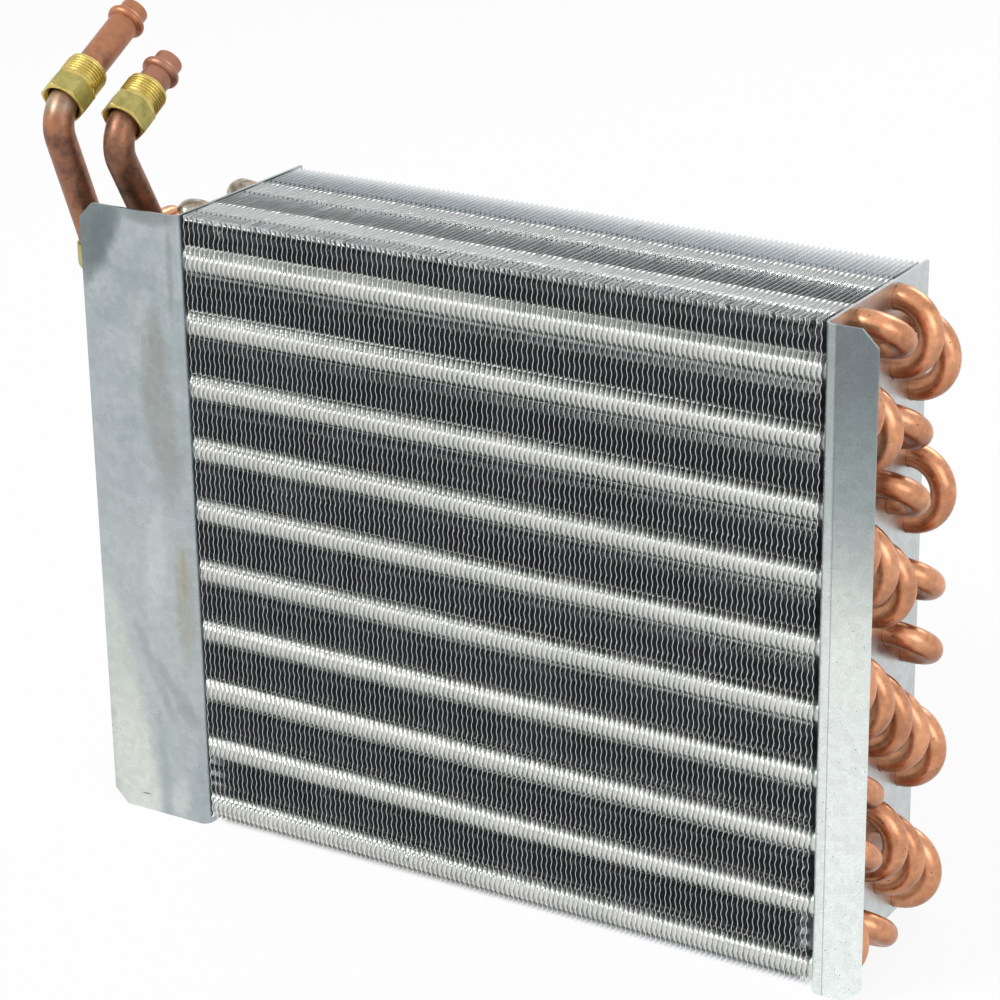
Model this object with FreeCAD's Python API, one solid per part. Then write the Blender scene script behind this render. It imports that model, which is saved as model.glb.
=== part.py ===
"""Evaporator core: a fin and tube block between two folded end plates.

Copper hairpin tubes run through a pack of aluminium fins. Brazed return bends
join them into five circuits on the left. A brass distributor and five small
feeder tubes bring the liquid in, and a copper header collects the vapour. Both
line connections are beaded tubes with a captive brass nut.

The block is modelled with X along the tubes, Y from the front of the fins to
the back and Z up, and zero at the front lower left corner of the block. At the
end everything moves together, so that the origin is the middle of the bottom.
"""
import FreeCAD
import Part
import math
import os

# Tube field: columns count downwards from the top, rows from front to back
tube_columns = 10
tube_rows = 5
tube_pitch = 25.4
row_pitch = 15.875
front_row_setback = 7.0
back_row_setback = 7.0
high_row_drop = 6.35
low_row_drop = 19.05
tube_diameter = 9.525
tube_wall = 0.4
tube_fit_gap = 0.05

# Fins
fin_count = 123
fin_pitch = 2.164
fin_thickness = 0.25
left_fin_gap = 1.2
right_fin_gap = 2.55
fin_lift = 0.8
fin_front_depth = 1.5
fin_top_depth = 1.0
fin_bottom_depth = 0.4

# End plates: a web across the tubes, with a flange folded outwards at the front
plate_thickness = 1.2
plate_overhang = 3.2
plate_fold_radius = 3.9
plate_hole_gap = 0.15
flange_offset = 2.4
left_flange_width = 46.3
right_flange_width = 20.5
flange_chamfer = 6.1

# Hairpin bends on the right, and their ends on the left
bend_reach = 13.0
leg_reveal = 0.1
cup_length = 4.2
cup_flare = 0.8
neck_taper = 4.0
neck_length = 4.0

# Return bends that plug into the cups
return_straight = 5.3
plug_depth = 4.0

# Vapour header with its outlet stubs
header_diameter = 15.875
header_wall = 1.0
header_setout = 33.0
header_setback = 28.0
header_rise = 19.95
header_drop = 26.45
header_taper = 4.0
header_neck_length = 4.5
stub_straight = 11.0
stub_bend_radius = 12.0

# Line connections: both are 12 mm tubes with a bead near the end
line_diameter = 12.0
line_wall = 1.0
line_bend_radius = 12.5
line_fit_gap = 0.05
bead_height = 1.7
bead_half_length = 2.0
pilot_step = 0.4
pilot_length = 7.2
pilot_edge = 0.8

outlet_plug_depth = 5.5
outlet_foot_rise = 4.2
outlet_foot_radius = 20.0
outlet_lean = 28.75
outlet_rise = 29.3
outlet_corner_rise = 45.3
outlet_bead_station = 37.3

inlet_setout = 55.0
inlet_setback = 16.4
inlet_plug_rise = 1.2
inlet_foot_rise = 2.4
inlet_foot_radius = 12.0
inlet_lean = 20.9
inlet_rise = 29.0
inlet_corner_rise = 52.5
inlet_bead_station = 54.6

# Captive nuts
nut_across_flats = 17.0
nut_hex_length = 9.5
nut_neck_diameter = 15.2
nut_neck_length = 2.0
nut_thread_diameter = 17.0
nut_thread_length = 8.5
nut_bore = 13.7
nut_entry_chamfer = 1.0
nut_entry_depth = 1.3
nut_thread_chamfer = 0.8
nut_corner_angle = 30.0
outlet_nut_station = 8.2
outlet_nut_turn = 20.0
inlet_nut_station = 6.7
inlet_nut_turn = 20.0

# Brass elbow below the inlet tube
elbow_diameter = 13.4
elbow_height = 226.8
elbow_socket_rise = 5.0
elbow_round = 4.5
elbow_leg_diameter = 12.0
elbow_channel = 6.0
elbow_drop_channel = 7.0
elbow_leg = 9.0
elbow_spigot_diameter = 10.0
elbow_spigot_length = 5.0

# Distributor and feeder tubes
distributor_fit_gap = 0.5
distributor_socket_diameter = 13.6
distributor_socket_length = 7.0
distributor_waist_diameter = 11.4
distributor_waist_length = 4.0
distributor_cone_length = 7.0
distributor_nose_diameter = 20.0
distributor_nose_length = 6.0
distributor_edge = 1.0
distributor_wall = 1.2
feeder_circle_diameter = 12.4
feeder_diameter = 4.76
feeder_wall = 0.7
feeder_plug = 5.0
feeder_bend_radius = 8.0
feeder_bundle_setback = 64.0
feeder_approach = 18.0
feeder_approach_radius = 10.0
feeder_angles = (0.0, 72.0, -72.0, 144.0, -144.0)

# Labels give row and column, so 27 is row 2, column 7
hairpin_labels = (
    (10, 11), (12, 13), (14, 15), (18, 19), (21, 22), (23, 24), (25, 26), (33, 34), (35, 36),
    (37, 38), (40, 41), (46, 47), (48, 49), (50, 51), (52, 53), (56, 57), (58, 59),
    (16, 27), (17, 28), (20, 30), (29, 39), (31, 42), (32, 43), (44, 54), (45, 55),
)
return_labels = (
    (52, 51), (50, 40), (41, 30), (20, 10), (44, 43), (32, 42), (31, 21), (22, 12), (45, 34),
    (33, 23), (24, 14), (15, 25), (57, 47), (46, 35), (36, 27), (16, 17), (58, 49), (48, 37),
    (38, 39), (29, 19),
)
outlet_labels = (11, 13, 18, 26, 28)
inlet_labels = (53, 54, 55, 56, 59)

# How far cutting shapes run past the faces they cut
overcut = 1.0

# Sizes that follow from the ones above
tube_radius = tube_diameter / 2
plate_height = tube_columns * tube_pitch
fin_pack_depth = front_row_setback + (tube_rows - 1) * row_pitch + back_row_setback
fin_pack_length = (fin_count - 1) * fin_pitch + fin_thickness
plate_distance = left_fin_gap + fin_pack_length + right_fin_gap
cup_inner = tube_radius + tube_fit_gap
cup_outer = cup_inner + tube_wall
cup_mouth = -plate_thickness - leg_reveal - cup_flare - cup_length
plug_end = cup_mouth + plug_depth
feeder_radius = feeder_diameter / 2
neck_inner = feeder_radius + tube_fit_gap
neck_outer = neck_inner + tube_wall
neck_mouth = -plate_thickness - leg_reveal - neck_taper - neck_length
line_radius = line_diameter / 2
elbow_top = elbow_height + elbow_socket_rise
inlet_plug_height = elbow_height + inlet_plug_rise
inlet_foot_height = elbow_top + inlet_foot_rise
inlet_corner_height = inlet_foot_height + inlet_corner_rise
distributor_start = inlet_setback + elbow_leg + distributor_fit_gap
x_axis = FreeCAD.Vector(1, 0, 0)
y_axis = FreeCAD.Vector(0, 1, 0)
z_axis = FreeCAD.Vector(0, 0, 1)


def point(x, y, z):
    return FreeCAD.Vector(x, y, z)


def tube_place(label):
    """Return the Y and Z of a tube's axis."""
    row, column = divmod(label, 10)
    drop = high_row_drop if row % 2 == 0 else low_row_drop
    return front_row_setback + (row - 1) * row_pitch, plate_height - drop - column * tube_pitch


def rounded_path(corners, radii):
    """Join straight runs with tangent arcs, one radius for each inner corner."""
    edges = []
    start = corners[0]
    for before, corner, after, radius in zip(corners, corners[1:], corners[2:], radii):
        back = (before - corner).normalize()
        ahead = (after - corner).normalize()
        half_angle = back.getAngle(ahead) / 2
        tangent = radius / math.tan(half_angle)
        middle = (back + ahead).normalize() * (radius / math.sin(half_angle) - radius)
        arc_start = corner + back * tangent
        arc_end = corner + ahead * tangent
        edges.append(Part.makeLine(start, arc_start))
        edges.append(Part.Arc(arc_start, corner + middle, arc_end).toShape())
        start = arc_end
    edges.append(Part.makeLine(start, corners[-1]))
    return Part.Wire(edges)


def sweep(path, radius):
    """Sweep a full disc along a path."""
    start = path.Vertexes[0].Point
    direction = path.Edges[0].tangentAt(path.Edges[0].FirstParameter)
    disc = Part.Face(Part.Wire(Part.makeCircle(radius, start, direction)))
    return path.makePipe(disc)


def sweep_tube(path, outer_radius, inner_radius):
    """Sweep a ring along a path."""
    return sweep(path, outer_radius).cut(sweep(path, inner_radius))


def turned(profile, origin, direction):
    """Turn a profile of (station, radius) points about an axis through origin."""
    points = [point(radius, 0, station) for station, radius in profile]
    face = Part.Face(Part.makePolygon(points + points[:1]))
    solid = face.revolve(point(0, 0, 0), z_axis, 360)
    return place_along(solid, origin, direction)


def place_along(solid, origin, direction):
    """Stand a solid modelled along Z on origin, along direction."""
    solid.Placement = FreeCAD.Placement(origin, FreeCAD.Rotation(z_axis, direction))
    return solid


def joined(pieces):
    """Fuse pieces into one solid."""
    whole = pieces[0].multiFuse(pieces[1:]).removeSplitter()
    return whole.Solids[0]


def fin_pack():
    """The fins, with a core where they are too close to see between."""
    fins_xy = []
    fins_xz = []
    front = fin_front_depth
    back = fin_pack_depth - fin_front_depth
    bottom = fin_lift + fin_bottom_depth
    top = plate_height - fin_top_depth
    end = left_fin_gap + fin_pack_length
    for index in range(fin_count):
        near = left_fin_gap + index * fin_pitch
        far = near + fin_thickness
        fins_xy += [(near, 0), (far, 0)]
        fins_xz += [(near, fin_lift), (far, fin_lift)]
        if index < fin_count - 1:
            fins_xy += [(far, front), (near + fin_pitch, front)]
            fins_xz += [(far, bottom), (near + fin_pitch, bottom)]
    backs_xy = [(x, back if y else fin_pack_depth) for x, y in reversed(fins_xy)]
    tops_xz = [(x, plate_height if z == fin_lift else top) for x, z in reversed(fins_xz)]
    plan = [point(x, y, fin_lift) for x, y in fins_xy + backs_xy]
    side = [point(x, 0, z) for x, z in fins_xz + tops_xz]
    plan_face = Part.Face(Part.makePolygon(plan + plan[:1]))
    side_face = Part.Face(Part.makePolygon(side + side[:1]))
    upright = plan_face.extrude(z_axis * (plate_height - fin_lift))
    lying = side_face.extrude(y_axis * fin_pack_depth)
    pack = upright.common(lying)
    bores = []
    for label in all_labels():
        y, z = tube_place(label)
        bores.append(Part.makeCylinder(tube_radius + tube_fit_gap, end, point(0, y, z), x_axis))
    return pack.cut(bores).Solids[0]


def all_labels():
    """Every tube's label, row by row."""
    rows = range(1, tube_rows + 1)
    return [row * 10 + column for row in rows for column in range(tube_columns)]


def end_plate(side, web_inner, flange_width):
    """A folded plate: side is -1 at the left and 1 at the right."""
    outer_radius = plate_fold_radius
    inner_radius = plate_fold_radius - plate_thickness
    turn = math.sqrt(0.5)
    depth = flange_offset + fin_pack_depth + plate_overhang

    def spot(out, back):
        return point(web_inner + side * out, back - flange_offset, 0)

    outside_arc = Part.Arc(
        spot(0, outer_radius),
        spot(outer_radius * (1 - turn), outer_radius * (1 - turn)),
        spot(outer_radius, 0),
    )
    inside_arc = Part.Arc(
        spot(outer_radius, plate_thickness),
        spot(outer_radius - inner_radius * turn, outer_radius - inner_radius * turn),
        spot(plate_thickness, outer_radius),
    )
    edges = [
        Part.makeLine(spot(0, depth), spot(0, outer_radius)),
        outside_arc.toShape(),
        Part.makeLine(spot(outer_radius, 0), spot(flange_width, 0)),
        Part.makeLine(spot(flange_width, 0), spot(flange_width, plate_thickness)),
        Part.makeLine(spot(flange_width, plate_thickness), spot(outer_radius, plate_thickness)),
        inside_arc.toShape(),
        Part.makeLine(spot(plate_thickness, outer_radius), spot(plate_thickness, depth)),
        Part.makeLine(spot(plate_thickness, depth), spot(0, depth)),
    ]
    plate = Part.Face(Part.Wire(edges)).extrude(z_axis * plate_height)
    cutters = []
    for height, inward in ((0, 1), (plate_height, -1)):
        clip = spot(flange_width, -overcut) + z_axis * height
        corner = [
            clip,
            clip - x_axis * side * flange_chamfer,
            clip + z_axis * inward * flange_chamfer,
        ]
        wedge = Part.Face(Part.makePolygon(corner + corner[:1]))
        cutters.append(wedge.extrude(y_axis * (plate_thickness + 2 * overcut)))
    hole_radius = tube_radius + plate_hole_gap
    for label in all_labels():
        y, z = tube_place(label)
        start = point(web_inner - plate_thickness - overcut, y, z)
        length = 2 * (plate_thickness + overcut)
        cutters.append(Part.makeCylinder(hole_radius, length, start, x_axis))
    return plate.cut(cutters).Solids[0]


def leg_end(label):
    """The worked end of a leg outside the left plate: a cup, or a neck for a feeder."""
    y, z = tube_place(label)
    inner = tube_radius - tube_wall
    start = plate_thickness + leg_reveal
    if label in inlet_labels:
        taper_end = start + neck_taper
        mouth = taper_end + neck_length
        outline = [(0, tube_radius), (start, tube_radius), (taper_end, neck_outer)]
        outline += [(mouth, neck_outer), (mouth, neck_inner), (taper_end, neck_inner)]
    else:
        taper_end = start + cup_flare
        mouth = taper_end + cup_length
        outline = [(0, tube_radius), (start, tube_radius), (taper_end, cup_outer)]
        outline += [(mouth, cup_outer), (mouth, cup_inner), (taper_end, cup_inner)]
    outline += [(start, inner), (0, inner)]
    return turned(outline, point(0, y, z), -x_axis)


def bend_radius(labels):
    """Half the distance between two tubes."""
    first, second = (point(0, *tube_place(label)) for label in labels)
    return first.distanceToPoint(second) / 2


def u_path(labels, straight_start, reach, sense):
    """The path of a U bend between two tubes, out to a reach along X."""
    first, second = (point(0, *tube_place(label)) for label in labels)
    radius = bend_radius(labels)
    bend_start = x_axis * (reach - sense * radius)
    middle = (first + second) / 2 + x_axis * reach
    edges = [
        Part.makeLine(first + x_axis * straight_start, first + bend_start),
        Part.Arc(first + bend_start, middle, second + bend_start).toShape(),
        Part.makeLine(second + bend_start, second + x_axis * straight_start),
    ]
    return Part.Wire(edges)


def hairpin(labels):
    """Two legs and the bend at the right, one drawn copper tube."""
    reach = plate_distance + plate_thickness + bend_reach
    path = u_path(labels, 0, reach, 1)
    tube = sweep_tube(path, tube_radius, tube_radius - tube_wall)
    return joined([tube, leg_end(labels[0]), leg_end(labels[1])])


def return_bend(labels):
    """A short U bend that plugs into two cups."""
    reach = -plate_thickness - return_straight - bend_radius(labels)
    path = u_path(labels, plug_end, reach, -1)
    return sweep_tube(path, tube_radius, tube_radius - tube_wall).Solids[0]


def header_top():
    """The height of the header's neck, above its highest stub."""
    return max(tube_place(label)[1] for label in outlet_labels) + header_rise


def suction_header():
    """A capped vertical header with an outlet stub from each circuit."""
    top = header_top()
    shoulder = top - header_neck_length - header_taper
    bottom = min(tube_place(label)[1] for label in outlet_labels) - header_drop
    outer = header_diameter / 2
    inner = outer - header_wall
    neck_bore = line_radius + line_fit_gap
    neck = neck_bore + header_wall
    base = point(-header_setout, header_setback, 0)
    shell = [
        (bottom, 0), (bottom, outer - header_wall), (bottom + header_wall, outer),
        (shoulder, outer), (shoulder + header_taper, neck), (top, neck), (top, 0),
    ]
    hollow = [
        (bottom + header_wall, 0), (bottom + header_wall, inner), (shoulder, inner),
        (shoulder + header_taper, neck_bore), (top, neck_bore), (top, 0),
    ]
    shells = [turned(shell, base, z_axis)]
    hollows = [turned(hollow, base, z_axis)]
    for label in outlet_labels:
        y, z = tube_place(label)
        corners = [point(plug_end, y, z), point(-stub_straight, y, z)]
        corners.append(point(-header_setout, header_setback, z))
        path = rounded_path(corners, [stub_bend_radius])
        shells.append(sweep(path, tube_radius))
        hollows.append(sweep(path, tube_radius - tube_wall))
    return joined(shells).cut(joined(hollows)).Solids[0]


def line_corner(x, foot_y, foot_height, lean, corner_height):
    """The upper corner of a line tube that leans forward from its foot."""
    rise = corner_height - foot_height
    return point(x, foot_y - rise * math.tan(math.radians(lean)), corner_height)


def line_direction(rise):
    """The direction of a line tube's upper run."""
    angle = math.radians(rise)
    return point(0, math.cos(angle), math.sin(angle))


def line_tube(foot, plug_height, foot_height, foot_radius, corner, rise, bead_station):
    """A bent tube with a bead and a pilot at its upper end."""
    direction = line_direction(rise)
    inner = line_radius - line_wall
    bead_start = bead_station - bead_half_length
    tip = bead_station + pilot_length
    corners = [
        point(foot.x, foot.y, plug_height),
        point(foot.x, foot.y, foot_height),
        corner,
        corner + direction * bead_start,
    ]
    path = rounded_path(corners, [foot_radius, line_bend_radius])
    pilot = line_radius - pilot_step
    points = [
        point(inner, 0, bead_start),
        point(line_radius, 0, bead_start),
        point(line_radius + bead_height, 0, bead_station),
        point(pilot, 0, bead_station + bead_half_length),
        point(pilot, 0, tip - pilot_edge),
        point(pilot - pilot_edge * (1 - math.sqrt(0.5)), 0, tip - pilot_edge * (1 - math.sqrt(0.5))),
        point(pilot - pilot_edge, 0, tip),
        point(inner, 0, tip),
    ]
    edges = [
        Part.makeLine(points[0], points[1]),
        Part.Arc(points[1], points[2], points[3]).toShape(),
        Part.makeLine(points[3], points[4]),
        Part.Arc(points[4], points[5], points[6]).toShape(),
        Part.makeLine(points[6], points[7]),
        Part.makeLine(points[7], points[0]),
    ]
    end = Part.Face(Part.Wire(edges)).revolve(point(0, 0, 0), z_axis, 360)
    return joined([sweep_tube(path, line_radius, inner), place_along(end, corner, direction)])


def outlet_foot():
    return point(-header_setout, header_setback, 0)


def outlet_foot_height():
    return header_top() + outlet_foot_rise


def outlet_corner():
    foot_height = outlet_foot_height()
    return line_corner(-header_setout, header_setback, foot_height, outlet_lean,
                       foot_height + outlet_corner_rise)


def outlet_pipe():
    plug_height = header_top() - outlet_plug_depth
    return line_tube(outlet_foot(), plug_height, outlet_foot_height(), outlet_foot_radius,
                     outlet_corner(), outlet_rise, outlet_bead_station)


def inlet_foot():
    return point(-inlet_setout, inlet_setback, 0)


def inlet_corner():
    return line_corner(-inlet_setout, inlet_setback, inlet_foot_height, inlet_lean,
                       inlet_corner_height)


def inlet_pipe():
    return line_tube(inlet_foot(), inlet_plug_height, inlet_foot_height, inlet_foot_radius,
                     inlet_corner(), inlet_rise, inlet_bead_station)


def captive_nut(corner, rise, station, turn):
    """A hexagon with a threaded shank, free to turn on its tube."""
    corner_radius = nut_across_flats / 2 / math.cos(math.radians(30))
    flat_radius = nut_across_flats / 2
    bore = nut_bore / 2
    shank_start = nut_hex_length + nut_neck_length
    shank_end = shank_start + nut_thread_length
    thread = nut_thread_diameter / 2
    bevel = (corner_radius - flat_radius) * math.tan(math.radians(nut_corner_angle))
    corners = []
    for index in range(7):
        angle = math.radians(turn + 60 * index)
        corners.append(point(corner_radius * math.cos(angle), corner_radius * math.sin(angle), 0))
    hexagon = Part.Face(Part.makePolygon(corners)).extrude(z_axis * nut_hex_length)
    envelope = [
        (0, 0), (0, flat_radius), (bevel, corner_radius), (nut_hex_length - bevel, corner_radius),
        (nut_hex_length, flat_radius), (nut_hex_length, 0),
    ]
    shank = [
        (nut_hex_length - overcut, 0), (nut_hex_length - overcut, nut_neck_diameter / 2),
        (shank_start, nut_neck_diameter / 2), (shank_start, thread - nut_thread_chamfer),
        (shank_start + nut_thread_chamfer, thread), (shank_end - nut_thread_chamfer, thread),
        (shank_end, thread - nut_thread_chamfer), (shank_end, 0),
    ]
    hole = [
        (0, 0), (0, bore + nut_entry_chamfer), (nut_entry_depth, bore), (shank_end, bore),
        (shank_end, 0),
    ]
    head = hexagon.common(turned(envelope, point(0, 0, 0), z_axis))
    body = joined([head, turned(shank, point(0, 0, 0), z_axis)])
    nut = body.cut(turned(hole, point(0, 0, 0), z_axis)).Solids[0]
    direction = line_direction(rise)
    return place_along(nut, corner + direction * station, direction)


def inlet_elbow():
    """A brass elbow: a socket for the inlet tube and a spigot for the distributor."""
    outer = elbow_diameter / 2
    foot = inlet_foot()
    centre = point(foot.x, foot.y, elbow_height)
    base = centre - z_axis * outer
    barrel = Part.makeCylinder(outer, elbow_top - base.z, base, z_axis)
    lower_rim = [edge for edge in barrel.Edges if edge.Closed and edge.BoundBox.ZMax < elbow_height]
    barrel = barrel.makeFillet(elbow_round, lower_rim)
    leg = Part.makeCylinder(elbow_leg_diameter / 2, elbow_leg, centre, y_axis)
    spigot = Part.makeCylinder(elbow_spigot_diameter / 2, elbow_leg + elbow_spigot_length, centre, y_axis)
    body = joined([barrel, leg, spigot])
    channel = elbow_channel / 2
    seat_start = point(foot.x, foot.y, inlet_plug_height - line_fit_gap)
    seat = Part.makeCylinder(line_radius + line_fit_gap, elbow_top, seat_start, z_axis)
    drop = Part.makeCylinder(elbow_drop_channel / 2, elbow_top, centre - z_axis * channel, z_axis)
    along = Part.makeCylinder(channel, 2 * elbow_leg + elbow_spigot_length, centre, y_axis)
    return body.cut([seat, drop, along]).Solids[0]


def feeder_mouth(angle):
    """The place on the distributor's end face where a feeder leaves."""
    radius = feeder_circle_diameter / 2
    across = radius * math.cos(math.radians(angle))
    up = radius * math.sin(math.radians(angle))
    return point(-inlet_setout + across, distributor_end(), elbow_height + up)


def distributor_end():
    return (distributor_start + distributor_socket_length + distributor_waist_length
            + distributor_cone_length + distributor_nose_length)


def distributor():
    """A turned brass body that shares the liquid among five feeders."""
    socket = distributor_socket_diameter / 2
    waist = distributor_waist_diameter / 2
    nose = distributor_nose_diameter / 2
    waist_start = distributor_socket_length
    cone_start = waist_start + distributor_waist_length
    nose_start = cone_start + distributor_cone_length
    end = nose_start + distributor_nose_length
    spigot_bore = elbow_spigot_diameter / 2 + line_fit_gap
    channel = elbow_channel / 2
    wide = feeder_circle_diameter / 2
    body = [
        (0, 0), (0, socket), (waist_start, socket), (cone_start, waist), (nose_start, nose),
        (end - distributor_edge, nose), (end, nose - distributor_edge), (end, 0),
    ]
    hollow = [
        (0, 0), (0, spigot_bore), (elbow_spigot_length + line_fit_gap, spigot_bore),
        (elbow_spigot_length + line_fit_gap, channel), (cone_start, channel),
        (nose_start - distributor_wall, wide), (nose_start, wide), (nose_start, 0),
    ]
    start = point(-inlet_setout, distributor_start, elbow_height)
    solid = turned(body, start, y_axis)
    cutters = [turned(hollow, start, y_axis)]
    for angle in feeder_angles:
        mouth = feeder_mouth(angle)
        depth = distributor_nose_length + overcut
        cutters.append(Part.makeCylinder(feeder_radius + tube_fit_gap, depth, mouth, -y_axis))
    return solid.cut(cutters).Solids[0]


def feeder_tube(label, angle):
    """A small tube that leaves the distributor, drops in the bundle and turns to its leg."""
    y, z = tube_place(label)
    mouth = feeder_mouth(angle)
    drop_y = feeder_bundle_setback + mouth.z - elbow_height
    corners = [
        mouth - y_axis * feeder_plug,
        point(mouth.x, drop_y, mouth.z),
        point(mouth.x, drop_y, z),
        point(-feeder_approach, y, z),
        point(neck_mouth + neck_length - tube_fit_gap, y, z),
    ]
    path = rounded_path(corners, [feeder_bend_radius, feeder_bend_radius, feeder_approach_radius])
    return sweep_tube(path, feeder_radius, feeder_radius - feeder_wall).Solids[0]


def build():
    """Return every piece by its name."""
    right_web = plate_distance
    pieces = {
        "fin_pack": fin_pack(),
        "left_end_plate": end_plate(-1, 0, left_flange_width),
        "right_end_plate": end_plate(1, right_web, right_flange_width),
        "suction_header": suction_header(),
        "outlet_pipe": outlet_pipe(),
        "inlet_pipe": inlet_pipe(),
        "outlet_nut": captive_nut(outlet_corner(), outlet_rise, outlet_nut_station, outlet_nut_turn),
        "inlet_nut": captive_nut(inlet_corner(), inlet_rise, inlet_nut_station, inlet_nut_turn),
        "inlet_elbow": inlet_elbow(),
        "distributor": distributor(),
    }
    for index, labels in enumerate(hairpin_labels):
        pieces[f"hairpin_{index + 1:02d}"] = hairpin(labels)
    for index, labels in enumerate(return_labels):
        pieces[f"return_bend_{index + 1:02d}"] = return_bend(labels)
    for order, label in enumerate(inlet_labels):
        pieces[f"feeder_tube_{order + 1}"] = feeder_tube(label, feeder_angles[order])
    return pieces


def centred(pieces):
    """Move all pieces so that the origin is the middle of the bottom of their box."""
    box = FreeCAD.BoundBox()
    for solid in pieces.values():
        box.add(solid.optimalBoundingBox(False))
    shift = point(-box.Center.x, -box.Center.y, -box.ZMin)
    for solid in pieces.values():
        solid.translate(shift)
    return shift


def main():
    os.makedirs("parts", exist_ok=True)
    pieces = build()
    shift = centred(pieces)
    for name, solid in pieces.items():
        solid.exportStep(f"parts/{name}.step")
        volume = solid.Volume
        print(f"{name}: valid {solid.isValid()}, solids {len(solid.Solids)}, volume {volume:.1f}")
    print(f"pieces {len(pieces)}, shift {shift.x:.3f} {shift.y:.3f} {shift.z:.3f}")


main()
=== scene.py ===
"""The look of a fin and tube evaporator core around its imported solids.

Thin rippled fins with drawn collars stand for the fin pack, and turned nuts
with a real thread stand for the plain ones. Braze beads go round the return
bends where they enter their cups. All other solids stay, with procedural
materials. Pieces are made in millimetres from the lower front left corner of
the block, with X along the tubes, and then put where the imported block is.
"""
import math

import bmesh
import bpy
import numpy as np
from mathutils import Matrix, Vector


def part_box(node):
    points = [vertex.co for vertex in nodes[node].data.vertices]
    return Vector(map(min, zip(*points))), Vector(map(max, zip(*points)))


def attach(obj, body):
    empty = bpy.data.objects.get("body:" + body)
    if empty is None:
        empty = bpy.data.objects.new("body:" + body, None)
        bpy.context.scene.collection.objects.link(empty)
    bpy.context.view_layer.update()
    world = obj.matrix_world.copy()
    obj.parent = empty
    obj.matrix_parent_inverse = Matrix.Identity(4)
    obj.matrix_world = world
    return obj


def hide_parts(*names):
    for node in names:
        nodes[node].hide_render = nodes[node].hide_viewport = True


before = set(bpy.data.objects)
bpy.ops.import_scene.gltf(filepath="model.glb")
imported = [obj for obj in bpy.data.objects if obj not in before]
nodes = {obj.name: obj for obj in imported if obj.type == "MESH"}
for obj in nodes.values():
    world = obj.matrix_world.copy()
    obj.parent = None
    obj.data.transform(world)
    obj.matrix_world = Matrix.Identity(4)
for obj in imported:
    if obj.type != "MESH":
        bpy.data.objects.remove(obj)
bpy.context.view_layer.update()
mm = 0.001
seed = 4127
same_place = 1e-6

# Tube field and fins, as in the solids; a tube's label is its row times ten plus its column
row_label = 10
tube_columns = 10
tube_rows = 5
tube_pitch = 25.4
row_pitch = 15.875
row_setback = 7.0
high_row_drop = 6.35
low_row_drop = 19.05
fin_count = 123
fin_pitch = 2.164
solid_fin_gauge = 0.25
left_fin_gap = 1.2
right_fin_gap = 2.55
fin_lift = 0.8

# Fins: gauge, waved edges, and how far the row of fins is off an even spacing
fin_gauge = 0.17
ripple_period = 5.08
ripple_height = 0.27
ripple_start = 5.95
ripple_depth = 4.2
front_ripple_steps = 8
back_ripple_steps = 4
end_steps = 24
inner_levels = 98
inner_end_steps = 16
drift_steps = (0, 0.65, 1.41, 1.94, 2.28, 2.52, 2.62, 2.56, 2.18, 1.71, 1.2, 1.0, 0.85)
lean_heights = (0, 47, 72, 148, 174, 199, 254)
lean_steps = (-0.5, -0.45, 0, 0, 0.2, 0.4, 0.35)
bottom_rise = 1.8
bottom_rise_length = 200.0
bottom_rise_zone = 12.0
fin_groups = 4
fin_sharp_angle = 50.0

# How uneven the fins are: spread of the wave's height, of a fin's place, of its way up and of
# its top edge; then the chance, reach and push of small bends at the front and at the top
wave_spread = 0.06
place_spread = 0.03
wander_spread = 0.03
wander_steps = 26
top_spread = 0.07
top_steps = 12
front_bend_chance = 0.3
front_bend_lowest = 5.0
front_bend_reach = (1.2, 3.0)
front_bend_push = 0.22
top_bend_chance = 0.35
top_bend_reach = (1.5, 4.0)
top_bend_push = 0.3

# Fins' finish: height of the dull cut edges, how deep and how far below the top the back has
# painted shade, dark lines across the top edges, and a faint painted glow over the deepest gaps
edge_zone = 1.3
back_shade_depth = (44.0, 72.0)
back_shade_top = (12.0, 4.0)
top_dark_lines = (8.4, 39.4, 57.0)
dark_line_fade = (0.7, 0.3)
dark_line_tint = (0.30, 0.31, 0.31)
painted_glow = 0.0018
painted_glow_tint = (0.86, 0.92, 1.0, 1.0)

# Bent spots: fin, Y, Z, reach and sideways push
dents = (
    (6, 0.0, 249.0, 2.2, 0.75),
    (7, 0.0, 248.0, 2.0, 0.45),
    (120, 0.0, 251.0, 2.4, -0.7),
    (119, 0.0, 246.0, 2.0, -0.35),
    (62, 34.0, 254.0, 3.0, 0.6),
    (71, 66.0, 254.0, 3.0, -0.6),
    (88, 20.0, 254.0, 2.5, 0.7),
    (105, 5.0, 254.0, 2.5, 0.6),
    (31, 70.0, 254.0, 3.0, 0.6),
)

# Right flange, outwards from its web: a painted highlight along the fold and a painted shade line at
# a crease beside it; and how far behind the front of the fins the web begins
fold_highlight_fade = (5.2, 4.4)
flange_crease = 5.4
crease_shade_fade = (0.35, 0.12)
web_start = (1.5, 4.0)

# Materials: where most values of a noise lie, how ragged and how soft a patch's edge is, how
# much of a pit is fully dark, and how sharply pits stop where the surface has none
noise_low = 0.3
noise_high = 0.7
patch_ragged = 0.9
patch_edge = (1.5, 0.6)
pit_core = 0.6
share_step = 0.01

# Collars between the fins: distance behind a fin, and radius
collar_steps = ((0.0, 5.7), (0.4, 5.1), (1.9, 4.88))
plain_collar_radius = 4.9
front_collar_sides = 20
back_collar_sides = 12
inner_collar_sides = 16
round_sharp_angle = 60.0
# Collars that show from above between the fins
top_labels = (20, 40)

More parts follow.
